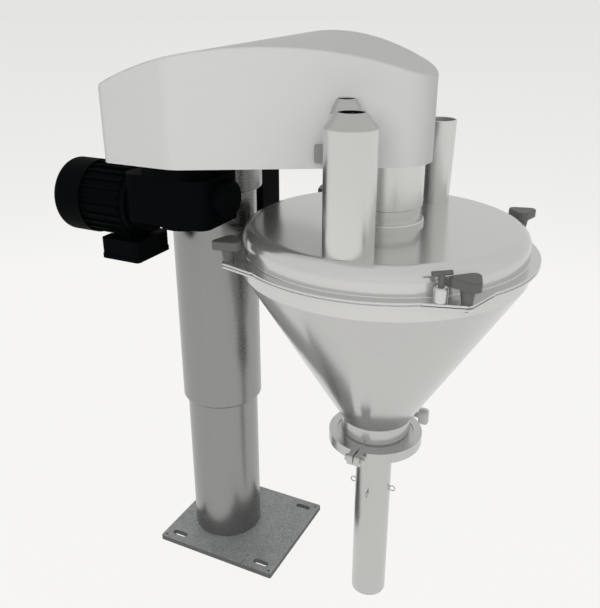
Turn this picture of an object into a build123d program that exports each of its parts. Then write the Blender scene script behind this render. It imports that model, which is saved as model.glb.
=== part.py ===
"""Auger powder filler on a lifting column: a belt-driven auger head with hopper, agitator and filler tube.

Frame: millimetres, +Z up. The origin is on the column's axis, on the underside of the base plate.
+X runs from the column to the hopper.
"""
import math
import os

from build123d import *

# Base plate and column
plate_length = 300.0
plate_width = 272.0
plate_thickness = 12.0
plate_shift = 42.0
plate_corner = 4.0
slot_spacing_x = 224.0
slot_spacing_y = 222.0
slot_length = 38.0
slot_width = 14.0
corner_hole_inset = 10.0
corner_hole_radius = 2.5
column_radius = 79.5
column_wall = 8.0
column_top = 700.0
slide_clearance = 0.05

# Lift sleeve and swivel collar
sleeve_radius = 89.0
sleeve_bottom = 372.0
sleeve_chamfer = 5.0
collar_radius = 101.0
collar_bottom = 858.0
washer_thickness = 4.0
washer_inset = 1.0
set_screw_radius = 5.0
set_screw_spacing = 60.0
set_screw_rise = 40.0

# Head
hopper_reach = 378.0
head_bottom = 946.0
head_plate_thickness = 14.0
shaft_hole_gap = 4.0
head_half_width = 255.0
head_rear = -66.0
head_kink = 84.0
head_end_radius = 79.5
head_corner = 18.0
head_kink_round = 60.0
cover_wall = 3.0
arch_rear_height = 137.5
arch_middle = 200.0
arch_middle_height = 202.5
arch_front = 462.0
arch_front_height = 147.5
arch_tilt = 1.72

# Neck, seal housing and bearings
neck_radius = 67.4
neck_length = 83.0
neck_ring_height = 3.0
neck_ring_proud = 1.0
neck_ring_rise = 10.0
bearing_radius = 47.5
bearing_width = 18.0
bearing_inset = 6.0
neck_screw_grip = 20.0
neck_screw_count = 6
neck_screw_angle = 30.0
seal_housing_radius = 59.0
seal_bore = 42.0
seal_width = 12.0
spacer_wall = 5.0
lid_collar_radius = 71.0
lid_collar_height = 9.0

# Hopper and lid
rim_radius = 286.0
rim_top = 776.5
rim_ledge = 16.0
rim_round = 1.2
flange_thickness = 4.0
hopper_radius = rim_radius - rim_ledge
hopper_shoulder = 742.0
hopper_shoulder_round = 26.0
spout_radius = 72.0
cone_bottom = 413.0
sheet = 3.0
ferrule_radius = 86.0
ferrule_thickness = 7.0
ferrule_face = 365.0
gasket_thickness = 2.0
lid_ledge = 19.0
lid_radius = rim_radius - lid_ledge
lid_height = 52.0
lid_shoulder = 26.0
lid_gasket_thickness = 1.5
lid_gasket_inset = 2.0
lug_angles = (-45.0, 45.0, 135.0, -135.0)
lug_names = ("front_right", "back_right", "back_left", "front_left")
lug_overhang = 16.0
lug_reach = rim_radius + lug_overhang
lug_radius = 13.0
lug_root_width = 130.0
lug_root_depth = 12.0

# Fittings on the lid
vent_wall = 3.0
vent_cone = 24.0
front_vent_at = (387.0, -201.0)
front_vent_radius = 43.0
front_vent_mouth = 23.0
front_vent_height = 201.0
rear_vent_at = (352.3, -138.8)
rear_vent_radius = 27.0
rear_vent_mouth = 16.0
rear_vent_height = 212.0
inlet_at = (417.0, 186.0)
inlet_foot_radius = 29.0
inlet_mouth_radius = 33.0
inlet_height = 164.0
clip_width = 10.0
clip_depth = 25.0
clip_height = 30.0
clip_round = 4.0
clip_drop = 50.0
clip_angle = 206.0
tee_pad_angle = -52.2
tee_pad_overhang = 12.0
tee_pad_width = 46.0
tee_pad_depth = 30.0
tee_pad_thickness = 25.0
tee_stem_radius = 5.0
tee_wall_gap = 18.0
tee_stem_depth = 10.0
tee_stem_length = 22.0
tee_bar_radius = 4.0
tee_bar_length = 33.0

# Hand knobs
knob_lobe_reach = 17.0
knob_lobe_radius = 11.5
knob_thickness = 15.0
knob_edge = 3.0
knob_stem_length = 27.0
knob_stem_top = 13.0
knob_stem_foot = 9.0
stud_radius = 5.0
stud_clearance = 0.3

# Filler tube and its clamp
tube_radius = 38.05
tube_wall = 2.0
tube_end = -50.0
eyelet_height = 233.0
eyelet_ring_radius = 6.0
eyelet_wire_radius = 1.3
eyelet_angle = -87.0
eyelet_count = 4
clamp_radius = 97.5
clamp_height = 22.0
clamp_angle = 89.0
clamp_split = 3.0
clamp_lug_length = 22.0
clamp_lug_round = 6.0
clamp_bolt_offset = 12.0
clamp_lug_width = 22.0
clamp_bore_gap = 8.0
clamp_lug_thickness = 12.0
clamp_bolt_radius = 4.0
clamp_bolt_head_radius = 7.0
clamp_bolt_head = 6.0
wing_sleeve_length = 46.0
wing_span = 38.0
wing_height = 22.0
wing_thickness = 8.0

# Auger and agitator
auger_radius = 35.0
auger_pitch = 58.0
auger_flight = 4.0
auger_weld_depth = 1.0
auger_shaft_radius = 12.5
auger_end_gap = 5.0
auger_top_of_flight = 420.0
running_clearance = 0.05
agitator_shaft_radius = 30.0
agitator_bore = 17.0
agitator_shaft_bottom = 600.0
bush_length = 26.0
bush_flange_radius = 24.0
bush_flange = 4.0
agitator_hub_radius = 42.0
agitator_hub_height = 130.0
agitator_bar = 16.0
scraper_gap = 13.0
scraper_width = 18.0
scraper_low = 425.0
scraper_high = 730.0

# Belt drives
agitator_belt_level = 990.0
auger_belt_level = 1045.0
pulley_width = 30.0
pulley_flange = 3.0
belt_width = 26.0
belt_thickness = 4.0
belt_clearance = 0.3
agitator_pulley_radius = 56.0
gearbox_pulley_radius = 28.0
auger_pulley_radius = 56.0
servo_pulley_radius = 28.0
drive_shaft_radius = 12.0

# Gearmotor
gearbox_at = (45.0, -170.0)
motor_axis_drop = 89.0
motor_radius = 69.0
motor_core_radius = 64.0
motor_fins = 24
motor_fin_thickness = 3.0
motor_fin_root = 1.0
motor_length = 153.0
fan_cover_length = 66.0
fan_cover_wall = 2.0
fan_cover_round = 14.0
fan_hole_radius = 4.0
fan_hole_rings = (18.0, 30.0, 42.0)
fan_hole_count = 8
motor_flange_radius = 62.0
motor_flange_thickness = 13.0
gearbox_front = 85.0
gearbox_rear = 91.0
gearbox_half_width = 62.0
gearbox_under = 21.0
gearbox_flange_thickness = 22.0
gearbox_round = 22.0
gearbox_neck_radius = 54.0
gearbox_boss_radius = 46.0
gearbox_boss_drop = 12.0
gearbox_flange_radius = 72.0
gearbox_cap_radius = 34.0
gearbox_cap_length = 20.0
gearbox_cap_rise = 27.0
gearbox_cap_chamfer = 3.0
terminal_length = 86.0
terminal_width = 100.0
terminal_height = 32.0
terminal_lid_height = 9.0
terminal_setback = 66.0
terminal_offset = 8.0
terminal_drop = 105.0
terminal_lid_overhang = 1.0
terminal_lid_round = 2.0
terminal_round = 8.0
terminal_neck_length = 40.0
terminal_neck_width = 62.0

# Servo motor
servo_at = (5.0, 156.0)
servo_width = 100.0
servo_body_width = 92.0
servo_flange_thickness = 14.0
servo_body_height = 190.0
servo_cap_height = 46.0
servo_round = 10.0
bolt_radius = 4.0
bolt_head_radius = 6.5
bolt_head_height = 8.0

# Levels that follow from the sizes above
cover_rear_top = head_bottom + arch_rear_height
cover_middle_top = head_bottom + arch_middle_height
cover_front_top = head_bottom + arch_front_height
head_plate_top = head_bottom + head_plate_thickness
neck_bottom = head_bottom - neck_length
sleeve_top = head_bottom - washer_thickness
lid_base = rim_top + lid_gasket_thickness
lid_top = lid_base + lid_height
lug_seat = lid_base + flange_thickness
tee_seat = lug_seat + tee_pad_thickness
tee_reach = lid_radius + tee_wall_gap
gearbox_x, gearbox_y = gearbox_at
servo_x, servo_y = servo_at
tube_face = ferrule_face - gasket_thickness
motor_axis_height = head_bottom - motor_axis_drop
motor_front = gearbox_x - gearbox_rear
motor_body_front = motor_front - motor_flange_thickness
motor_far_end = motor_body_front - motor_length
gearbox_low = motor_axis_height - gearbox_under
gearbox_high = head_bottom - gearbox_flange_thickness
gearbox_cap_height = motor_axis_height + gearbox_cap_rise
terminal_rear = motor_front - terminal_setback
terminal_middle = gearbox_y - terminal_offset
terminal_bottom = motor_axis_height - terminal_drop
fan_cover_front = motor_far_end + fan_cover_length


def z_cylinder(radius, low, high, x=0.0, y=0.0):
    """An upright cylinder between two heights."""
    return Pos(x, y, (low + high) / 2) * Cylinder(radius, high - low)


def z_tube(outer, inner, low, high, x=0.0, y=0.0):
    """An upright tube between two heights."""
    return z_cylinder(outer, low, high, x, y) - z_cylinder(inner, low, high, x, y)


def x_cylinder(radius, rear, front, y, z):
    """A cylinder that lies along X."""
    return Pos((rear + front) / 2, y, z) * Rot(0, 90, 0) * Cylinder(radius, front - rear)


def block(x_range, y_range, z_range):
    """A box between three pairs of limits."""
    low = (x_range[0], y_range[0], z_range[0])
    size = (x_range[1] - x_range[0], y_range[1] - y_range[0], z_range[1] - z_range[0])
    return Pos(*low) * Box(*size, align=(Align.MIN, Align.MIN, Align.MIN))


def turned(outline, rounds=()):
    """A solid turned about Z from (radius, height) points; rounds holds (point, fillet radius)."""
    face = make_face(Polyline(*outline, close=True))
    for point, radius in rounds:
        corner = face.vertices().sort_by_distance((point[0], point[1], 0))[0]
        face = fillet(corner, radius)
    return revolve(Plane.XZ * face, Axis.Z)


def at_hopper(shape):
    """Move a shape from the frame's axis to the hopper's axis."""
    return Pos(hopper_reach, 0, 0) * shape


def polar(radius, angle):
    """A point in plan at a radius and an angle in degrees."""
    return radius * math.cos(math.radians(angle)), radius * math.sin(math.radians(angle))


def cap_screw(x, y, seat, length):
    """A socket cap screw that stands head up on a seat."""
    head = z_cylinder(bolt_head_radius, seat, seat + bolt_head_height, x, y)
    return head + z_cylinder(bolt_radius, seat - length, seat, x, y)


# Base plate
def make_base_plate():
    plate = Box(plate_length, plate_width, plate_thickness)
    plate = fillet(plate.edges().filter_by(Axis.Z), plate_corner)
    for x in (-slot_spacing_x / 2, slot_spacing_x / 2):
        for y in (-slot_spacing_y / 2, slot_spacing_y / 2):
            slot = extrude(SlotOverall(slot_length, slot_width), plate_thickness, both=True)
            plate -= Pos(x, y, 0) * slot
    hole_x = plate_length / 2 - corner_hole_inset
    hole_y = plate_width / 2 - corner_hole_inset
    for x in (-hole_x, hole_x):
        for y in (-hole_y, hole_y):
            plate -= Pos(x, y, 0) * Cylinder(corner_hole_radius, 2 * plate_thickness)
    return Pos(plate_shift, 0, plate_thickness / 2) * plate


def make_column_tube():
    return z_tube(column_radius, column_radius - column_wall, plate_thickness, column_top)


# Lift sleeve with its set screws
sleeve_bore = column_radius + slide_clearance
set_screw_levels = (sleeve_bottom + set_screw_rise, sleeve_bottom + set_screw_rise + set_screw_spacing)


def set_screw(level):
    length = sleeve_radius - sleeve_bore + set_screw_radius
    screw = Rot(0, 90, 0) * Cylinder(set_screw_radius, length, align=(Align.CENTER, Align.CENTER, Align.MIN))
    return Pos(-sleeve_bore - slide_clearance, 0, level) * Rot(0, 0, 180) * screw


def make_lift_sleeve():
    sleeve = z_tube(sleeve_radius, sleeve_bore, sleeve_bottom, sleeve_top)
    rim = sleeve.edges().filter_by(GeomType.CIRCLE).group_by(Axis.Z)[0].sort_by(SortBy.RADIUS)[-1]
    sleeve = chamfer(rim, sleeve_chamfer)
    for level in set_screw_levels:
        sleeve -= set_screw(level)
    return sleeve


def make_sleeve_set_screws():
    return [set_screw(level) for level in set_screw_levels]


# Swivel collar that carries the head on the sleeve
def make_swivel_collar():
    bore = sleeve_radius + running_clearance
    return z_tube(collar_radius, bore, collar_bottom, head_bottom)


def make_thrust_washer():
    return z_tube(sleeve_radius - washer_inset, sleeve_bore + washer_inset, sleeve_top, head_bottom)


# Head plate and cover share one plan: a broad rear that tapers to a round end over the hopper
def head_plan():
    reach = hopper_reach - head_kink
    distance = math.hypot(reach, head_half_width)
    taper = math.atan2(head_half_width, reach) - math.asin(head_end_radius / distance)
    touch_x = hopper_reach + head_end_radius * math.sin(taper)
    touch_y = head_end_radius * math.cos(taper)
    end = ThreePointArc((touch_x, -touch_y), (hopper_reach + head_end_radius, 0), (touch_x, touch_y))
    sides = Polyline(
        (touch_x, touch_y),
        (head_kink, head_half_width),
        (head_rear, head_half_width),
        (head_rear, -head_half_width),
        (head_kink, -head_half_width),
        (touch_x, -touch_y),
    )
    plan = make_face([end, *sides.edges()])
    for x, radius in ((head_kink, head_kink_round), (head_rear, head_corner)):
        for y in (-head_half_width, head_half_width):
            corner = plan.vertices().sort_by_distance((x, y, 0))[0]
            plan = fillet(corner, radius)
    return plan


def arch_circle():
    """Centre and radius, from the head's underside, of the circle through the arch's three points."""
    places = [(head_rear, arch_rear_height), (arch_middle, arch_middle_height), (arch_front, arch_front_height)]
    arch = ThreePointArc(*places)
    return arch.arc_center.X, arch.arc_center.Y, arch.radius


def arched_block(plan, drop):
    """The plan raised to the arched top, which rises to the back, lowered by drop."""
    middle, height, radius = arch_circle()
    barrel = Pos(0, 0, height) * Rot(90, 0, 0) * Cylinder(radius - drop, 4 * head_half_width)
    barrel = Pos(middle, 0, head_bottom) * Rot(arch_tilt, 0, 0) * barrel
    tall = Pos(0, 0, head_bottom) * extrude(plan, 2 * arch_middle_height)
    return tall & barrel


def make_head_cover():
    plan = head_plan()
    outer = arched_block(plan, 0)
    inner = arched_block(offset(plan, -cover_wall), cover_wall)
    return outer - inner


def make_head_plate():
    plan = offset(head_plan(), -cover_wall)
    plate = Pos(0, 0, head_bottom) * extrude(plan, head_plate_thickness)
    plate -= z_cylinder(seal_bore, head_bottom, head_plate_top, hopper_reach)
    for place in (gearbox_at, servo_at):
        plate -= z_cylinder(drive_shaft_radius + shaft_hole_gap, head_bottom, head_plate_top, *place)
    for x, y in gearbox_bolt_places() + servo_bolt_places() + neck_bolt_places():
        plate -= z_cylinder(bolt_radius, head_bottom, head_plate_top, x, y)
    return plate


def ring_of_places(x, y, radius, count, first):
    """Points evenly round a circle in plan."""
    places = []
    for index in range(count):
        dx, dy = polar(radius, first + index * 360 / count)
        places.append((x + dx, y + dy))
    return places


def gearbox_bolt_places():
    return ring_of_places(gearbox_x, gearbox_y, gearbox_flange_radius - 2 * bolt_radius, 4, 45)


def servo_bolt_places():
    diagonal = math.hypot(servo_width, servo_width) / 2 - 2 * bolt_head_radius
    return ring_of_places(servo_x, servo_y, diagonal, 4, 45)


def neck_bolt_places():
    reach = (bearing_radius + neck_radius) / 2
    return ring_of_places(hopper_reach, 0, reach, neck_screw_count, neck_screw_angle)


# Neck with its bearings, seal and seal housing
bearing_low = neck_bottom + bearing_inset
bearing_high = head_bottom - bearing_width


def make_neck_housing():
    neck = z_cylinder(neck_radius, neck_bottom, head_bottom)
    ring_low = neck_bottom + neck_ring_rise
    neck += z_cylinder(neck_radius + neck_ring_proud, ring_low, ring_low + neck_ring_height)
    neck -= z_cylinder(bearing_radius, bearing_low, head_bottom)
    neck -= z_cylinder(seal_bore, neck_bottom, bearing_low)
    neck = at_hopper(neck)
    for x, y in neck_bolt_places():
        neck -= z_cylinder(bolt_radius, head_bottom - neck_screw_grip, head_bottom, x, y)
    return neck


def make_neck_bearings():
    bore = agitator_shaft_radius + running_clearance
    low = z_tube(bearing_radius, bore, bearing_low, bearing_low + bearing_width)
    high = z_tube(bearing_radius, bore, bearing_high, bearing_high + bearing_width)
    return [at_hopper(low), at_hopper(high)]


def make_bearing_spacer():
    low = bearing_low + bearing_width
    return at_hopper(z_tube(bearing_radius, bearing_radius - spacer_wall, low, bearing_high))


def make_seal_housing():
    housing = z_tube(seal_housing_radius, seal_bore, lid_base + lid_height - sheet, neck_bottom)
    return at_hopper(housing)


def make_shaft_seal():
    bore = agitator_shaft_radius + running_clearance
    low = lid_top + lid_collar_height
    return at_hopper(z_tube(seal_bore, bore, low, low + seal_width))


# Hopper, lid and what seals them
def lug_plan():
    """A tab that runs out from the rim to a round end at the knob's stud."""
    end = Pos(lug_reach, 0, 0) * Circle(lug_radius)
    root = Pos(rim_radius - lug_root_depth, 0, 0) * Rectangle(lug_root_depth, lug_root_width)
    return make_hull([*end.edges(), *root.edges()])


def lugs(low, high, inner_limit):
    """The four tabs, cut back to a ring outside inner_limit."""
    tab = Pos(0, 0, low) * extrude(lug_plan(), high - low)
    tab -= z_cylinder(inner_limit, low, high)
    tab -= z_cylinder(stud_radius + stud_clearance, low, high, lug_reach)
    return [Rot(0, 0, angle) * tab for angle in lug_angles]


def make_hopper():
    rim_low = rim_top - flange_thickness
    outer = [
        (0, ferrule_face), (ferrule_radius, ferrule_face), (ferrule_radius, ferrule_face + ferrule_thickness),
        (spout_radius, ferrule_face + ferrule_thickness), (spout_radius, cone_bottom),
        (hopper_radius, hopper_shoulder), (hopper_radius, rim_low), (rim_radius, rim_low),
        (rim_radius, rim_top), (0, rim_top),
    ]
    outer_rounds = [
        ((hopper_radius, hopper_shoulder), hopper_shoulder_round),
        ((rim_radius, rim_low), rim_round),
        ((rim_radius, rim_top), rim_round),
    ]
    inner = [
        (0, ferrule_face), (spout_radius - sheet, ferrule_face), (spout_radius - sheet, cone_bottom),
        (hopper_radius - sheet, hopper_shoulder), (hopper_radius - sheet, rim_top), (0, rim_top),
    ]
    inner_rounds = [((hopper_radius - sheet, hopper_shoulder), hopper_shoulder_round - sheet)]
    hopper = turned(outer, outer_rounds)
    for lug in lugs(rim_low, rim_top, hopper_radius - sheet):
        hopper += lug
    hopper -= turned(inner, inner_rounds)
    return at_hopper(hopper)


def make_lid():
    outer = [(0, lid_base), (rim_radius, lid_base), (rim_radius, lug_seat), (lid_radius, lug_seat),
             (lid_radius, lid_top), (0, lid_top)]
    inner = [(0, lid_base), (lid_radius - sheet, lid_base), (lid_radius - sheet, lid_top - sheet),
             (0, lid_top - sheet)]
    lid = turned(outer, [((lid_radius, lid_top), lid_shoulder)])
    for lug in lugs(lid_base, lug_seat, lid_radius - sheet):
        lid += lug
    pad_end = rim_radius + tee_pad_overhang
    pad_side = tee_pad_width / 2
    pad = block((pad_end - tee_pad_depth, pad_end), (-pad_side, pad_side), (lug_seat, tee_seat))
    lid += Rot(0, 0, tee_pad_angle) * pad
    lid -= turned(inner, [((lid_radius - sheet, lid_top - sheet), lid_shoulder - sheet)])
    lid -= z_cylinder(seal_housing_radius, lid_base, lid_top)
    lid -= tee_hole()
    lid = at_hopper(lid)
    for (x, y), radius in lid_openings():
        lid -= z_cylinder(radius, lid_base, lid_top, x, y)
    return lid


def tee_place():
    return polar(tee_reach, tee_pad_angle)


def tee_hole():
    return z_cylinder(tee_stem_radius + running_clearance, tee_seat - tee_stem_depth, tee_seat, *tee_place())


def lid_openings():
    return (
        (front_vent_at, front_vent_radius - vent_wall),
        (rear_vent_at, rear_vent_radius - vent_wall),
        (inlet_at, inlet_foot_radius - vent_wall),
    )


def make_lid_gasket():
    return at_hopper(z_tube(rim_radius - lid_gasket_inset, hopper_radius - sheet, rim_top, lid_base))


def make_lid_collar():
    return at_hopper(z_tube(lid_collar_radius, seal_housing_radius, lid_top, lid_top + lid_collar_height))


# Tubes on the lid
def vent_tube(place, radius, mouth_radius, height):
    shoulder = lid_top + height
    mouth = shoulder + vent_cone
    outline = [
        (radius - vent_wall, lid_top), (radius, lid_top), (radius, shoulder),
        (mouth_radius, mouth), (mouth_radius - vent_wall, mouth), (radius - vent_wall, shoulder),
    ]
    return Pos(*place, 0) * turned(outline)


def make_inlet_tube():
    mouth = lid_top + inlet_height
    outline = [
        (inlet_foot_radius - vent_wall, lid_top), (inlet_foot_radius, lid_top),
        (inlet_mouth_radius, mouth), (inlet_mouth_radius - vent_wall, mouth),
    ]
    return Pos(*inlet_at, 0) * turned(outline)


def make_vent_clip():
    """The small catch on the side of the rear vent tube."""
    high = lid_top + rear_vent_height - clip_drop
    reach = rear_vent_radius + clip_depth
    clip = block((0, reach), (-clip_width / 2, clip_width / 2), (high - clip_height, high))
    clip = fillet(clip.edges().filter_by(Axis.Y).group_by(Axis.X)[-1], clip_round)
    clip -= z_cylinder(rear_vent_radius, lid_top, lid_top + rear_vent_height)
    return Pos(*rear_vent_at, 0) * Rot(0, 0, clip_angle) * clip


# Hand knobs and screws
def lid_knob(angle):
    """A three-lobed knob with a conical stem and its stud, on a lid tab."""
    seat = lug_seat
    top = seat + knob_stem_length
    lobes = [Pos(*polar(knob_lobe_reach, turn), 0) * Circle(knob_lobe_radius) for turn in (0, 120, 240)]
    outline = make_hull([edge for lobe in lobes for edge in lobe.edges()])
    head = Pos(0, 0, top) * extrude(outline, knob_thickness)
    head = fillet(head.edges().group_by(Axis.Z)[-1], knob_edge)
    stem = turned([(0, seat), (knob_stem_foot, seat), (knob_stem_top, top), (0, top)])
    stud = z_cylinder(stud_radius, rim_top - 2 * flange_thickness, seat)
    return at_hopper(Rot(0, 0, angle) * Pos(lug_reach, 0, 0) * (head + stem + stud))


def make_tee_screw():
    x, y = tee_place()
    top = tee_seat + tee_stem_length
    stem = z_cylinder(tee_stem_radius, tee_seat - tee_stem_depth, top, x, y)
    bar = Pos(x, y, top) * Rot(0, 0, tee_pad_angle) * Rot(90, 0, 0) * Cylinder(tee_bar_radius, tee_bar_length)
    return at_hopper(stem + bar)


# Filler tube, gasket and band clamp
def make_filler_tube():
    tube = z_tube(tube_radius, tube_radius - tube_wall, tube_end, tube_face)
    tube += z_tube(ferrule_radius, tube_radius - tube_wall, tube_face - ferrule_thickness, tube_face)
    return at_hopper(tube)


def make_tube_eyelets():
    eyelets = []
    for index in range(eyelet_count):
        ring = Rot(90, 0, 0) * Torus(eyelet_ring_radius, eyelet_wire_radius)
        ring = Pos(tube_radius + eyelet_ring_radius, 0, eyelet_height) * ring
        ring -= z_cylinder(tube_radius, tube_end, tube_face)
        turn = Rot(0, 0, eyelet_angle + index * 360 / eyelet_count)
        eyelets.append(at_hopper(turn * ring))
    return eyelets


def make_tube_gasket():
    return at_hopper(z_tube(ferrule_radius - lid_gasket_inset, spout_radius - sheet, tube_face, ferrule_face))


clamp_middle = (ferrule_face + tube_face) / 2


def clamp_ring():
    """The band with its V groove and two pairs of lugs, before it is split."""
    low = clamp_middle - clamp_height / 2
    high = clamp_middle + clamp_height / 2
    groove_low = tube_face - ferrule_thickness
    groove_high = ferrule_face + ferrule_thickness
    band = z_tube(clamp_radius, spout_radius + clamp_bore_gap, low, high)
    band -= z_cylinder(ferrule_radius, groove_low, groove_high)
    lug_start = (ferrule_radius + clamp_radius) / 2
    lug_end = clamp_radius + clamp_lug_length
    for side in (1, -1):
        x_range = sorted((side * lug_start, side * lug_end))
        y_range = (-clamp_lug_thickness - clamp_split / 2, clamp_lug_thickness + clamp_split / 2)
        z_range = (clamp_middle - clamp_lug_width / 2, clamp_middle + clamp_lug_width / 2)
        lug = block(x_range, y_range, z_range)
        outer_edges = lug.edges().filter_by(Axis.Y).group_by(Axis.X)[-1 if side > 0 else 0]
        band += fillet(outer_edges, clamp_lug_round)
    return band


def clamp_bolt_reach():
    return clamp_radius + clamp_bolt_offset


def clamp_half(side):
    """One half of the band, on the +Y side or the -Y side of the split."""
    reach = 2 * clamp_radius
    low = clamp_middle - clamp_height
    high = clamp_middle + clamp_height
    limits = sorted((side * clamp_split / 2, side * reach))
    half = clamp_ring() & block((-reach, reach), limits, (low, high))
    for end in (1, -1):
        hole = Rot(90, 0, 0) * Cylinder(clamp_bolt_radius + running_clearance, 2 * reach)
        half -= Pos(end * clamp_bolt_reach(), 0, clamp_middle) * hole
    return at_hopper(Rot(0, 0, clamp_angle) * half)


def clamp_lug_face():
    return clamp_lug_thickness + clamp_split / 2


def make_clamp_bolt():
    """The bolt and nut that stay tight on the front lugs."""
    face = clamp_lug_face()
    shank = Cylinder(clamp_bolt_radius, 2 * face)
    for end in (1, -1):
        nut = extrude(RegularPolygon(clamp_bolt_head_radius, 6), clamp_bolt_head / 2, both=True)
        shank += Pos(0, 0, end * (face + clamp_bolt_head / 2)) * nut
    bolt = Pos(-clamp_bolt_reach(), 0, clamp_middle) * Rot(90, 0, 0) * shank
    return at_hopper(Rot(0, 0, clamp_angle) * bolt)


def make_clamp_wing_screw():
    """The wing screw that draws the other pair of lugs together."""
    face = clamp_lug_face()
    end = face + clamp_bolt_head
    sleeve_end = face + wing_sleeve_length
    shank = Pos(0, 0, (end - face) / 2) * Cylinder(clamp_bolt_radius, face + end)
    boss = Pos(0, 0, -(face + sleeve_end) / 2) * Cylinder(clamp_bolt_head_radius, wing_sleeve_length)
    wing = Pos(0, 0, -sleeve_end - wing_height / 2) * Box(wing_thickness, wing_span, wing_height)
    wing = fillet(wing.edges().filter_by(Axis.X), wing_height / 3)
    nut = Pos(0, 0, face + clamp_bolt_head / 2) * Cylinder(clamp_bolt_head_radius, clamp_bolt_head)
    screw = Rot(-90, 0, 0) * (shank + boss + wing + nut)
    return at_hopper(Rot(0, 0, clamp_angle) * Pos(clamp_bolt_reach(), 0, clamp_middle) * screw)


# Auger and agitator
def make_auger():
    """The screw: one helical flight welded on a shaft that reaches up to the drive."""
    low = tube_end + auger_end_gap
    top = auger_belt_level + pulley_width / 2 + pulley_flange + bush_flange
    shaft = z_cylinder(auger_shaft_radius, low, top)
    height = auger_top_of_flight - low - auger_flight
    inner = auger_shaft_radius - auger_weld_depth
    middle = (inner + auger_radius) / 2
    path = Pos(0, 0, low + auger_flight / 2) * Helix(auger_pitch, height, middle)
    section = Plane(path @ 0, x_dir=(1, 0, 0), z_dir=path % 0) * Rectangle(auger_radius - inner, auger_flight)
    flight = sweep(section, path=path, is_frenet=True)
    return at_hopper(shaft + flight)


agitator_top = agitator_belt_level + pulley_width / 2 + pulley_flange


def make_agitator_shaft():
    shaft = z_tube(agitator_shaft_radius, agitator_bore, agitator_shaft_bottom, agitator_top)
    return at_hopper(shaft)


def make_auger_bushes():
    bore = auger_shaft_radius + running_clearance
    low = z_tube(agitator_bore, bore, agitator_shaft_bottom, agitator_shaft_bottom + bush_length)
    high = z_tube(agitator_bore, bore, agitator_top - bush_length, agitator_top)
    high += z_tube(bush_flange_radius, bore, agitator_top, agitator_top + bush_flange)
    return [at_hopper(low), at_hopper(high)]


def cone_radius(level):
    """Inside radius of the hopper's cone at a height."""
    share = (level - cone_bottom) / (hopper_shoulder - cone_bottom)
    return spout_radius - sheet + share * (hopper_radius - spout_radius)


def make_agitator_frame():
    """A hub with two arms a side that carry a scraper bar along the cone."""
    hub_top = agitator_shaft_bottom + agitator_hub_height
    hub = z_tube(agitator_hub_radius, agitator_shaft_radius, agitator_shaft_bottom, hub_top)
    low_r = cone_radius(scraper_low) - scraper_gap
    high_r = cone_radius(scraper_high) - scraper_gap
    bar = make_face(Polyline(
        (low_r, scraper_low), (high_r, scraper_high), (high_r - scraper_width, scraper_high),
        (low_r - scraper_width, scraper_low), close=True,
    ))
    scraper = extrude(Plane.XZ * bar, agitator_bar / 2, both=True)
    frame = hub
    for turn in (90, 270):
        frame += Rot(0, 0, turn) * scraper
        for level in (agitator_shaft_bottom + agitator_bar, hub_top - agitator_bar):
            reach = cone_radius(level) - scraper_gap - scraper_width / 2
            start = (agitator_hub_radius + agitator_shaft_radius) / 2
            half = agitator_bar / 2
            arm = block((start, reach), (-half, half), (level - half, level + half))
            frame += Rot(0, 0, turn) * arm
    return at_hopper(frame)


# Belt drives inside the head
def pulley(radius, bore, level, x, y):
    """A flanged belt pulley."""
    half = pulley_width / 2
    wheel = z_cylinder(radius, level - half, level + half)
    for low in (level - half - pulley_flange, level + half):
        wheel += z_cylinder(radius + 2 * belt_thickness, low, low + pulley_flange)
    wheel -= z_cylinder(bore, level - pulley_width, level + pulley_width)
    return Pos(x, y, 0) * wheel


def belt(level, first, first_radius, second, second_radius):
    """An endless flat belt round two pulleys."""
    loops = []
    for extra in (belt_clearance + belt_thickness, belt_clearance):
        one = Pos(*first, 0) * Circle(first_radius + extra)
        two = Pos(*second, 0) * Circle(second_radius + extra)
        loops.append(make_hull([*one.edges(), *two.edges()]))
    return Pos(0, 0, level) * extrude(loops[0] - loops[1], belt_width / 2, both=True)


def drive_shaft(place, low, level):
    return z_cylinder(drive_shaft_radius, low, level + pulley_width / 2 + pulley_flange, *place)


# Gearmotor
def make_motor_body():
    core = x_cylinder(motor_core_radius, fan_cover_front, motor_body_front, 0, 0)
    depth = motor_radius - motor_core_radius
    length = motor_body_front - fan_cover_front
    fin = Pos((fan_cover_front + motor_body_front) / 2, 0, motor_core_radius + (depth - motor_fin_root) / 2)
    fin *= Box(length, motor_fin_thickness, depth + motor_fin_root)
    for index in range(motor_fins):
        core += Rot(index * 360 / motor_fins, 0, 0) * fin
    return Pos(0, gearbox_y, motor_axis_height) * core


def make_fan_cover():
    outer = x_cylinder(motor_radius + fan_cover_wall, motor_far_end, fan_cover_front, 0, 0)
    outer = fillet(outer.edges().group_by(Axis.X)[0], fan_cover_round)
    inner = x_cylinder(motor_radius, motor_far_end + fan_cover_wall, fan_cover_front, 0, 0)
    inner = fillet(inner.edges().group_by(Axis.X)[0], fan_cover_round - fan_cover_wall)
    cover = outer - inner
    for radius in fan_hole_rings:
        for y, z in ring_of_places(0, 0, radius, fan_hole_count, radius):
            cover -= x_cylinder(fan_hole_radius, motor_far_end, motor_far_end + 2 * fan_cover_wall, y, z)
    return Pos(0, gearbox_y, motor_axis_height) * cover


def make_motor_end_bell():
    """Solid rear end of the motor under the fan cover."""
    rear = motor_far_end + fan_cover_length / 2
    return x_cylinder(motor_radius - 2 * fan_cover_wall, rear, fan_cover_front, gearbox_y, motor_axis_height)


def make_motor_flange():
    flange = x_cylinder(motor_flange_radius, motor_body_front, motor_front, gearbox_y, motor_axis_height)
    return flange


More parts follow.
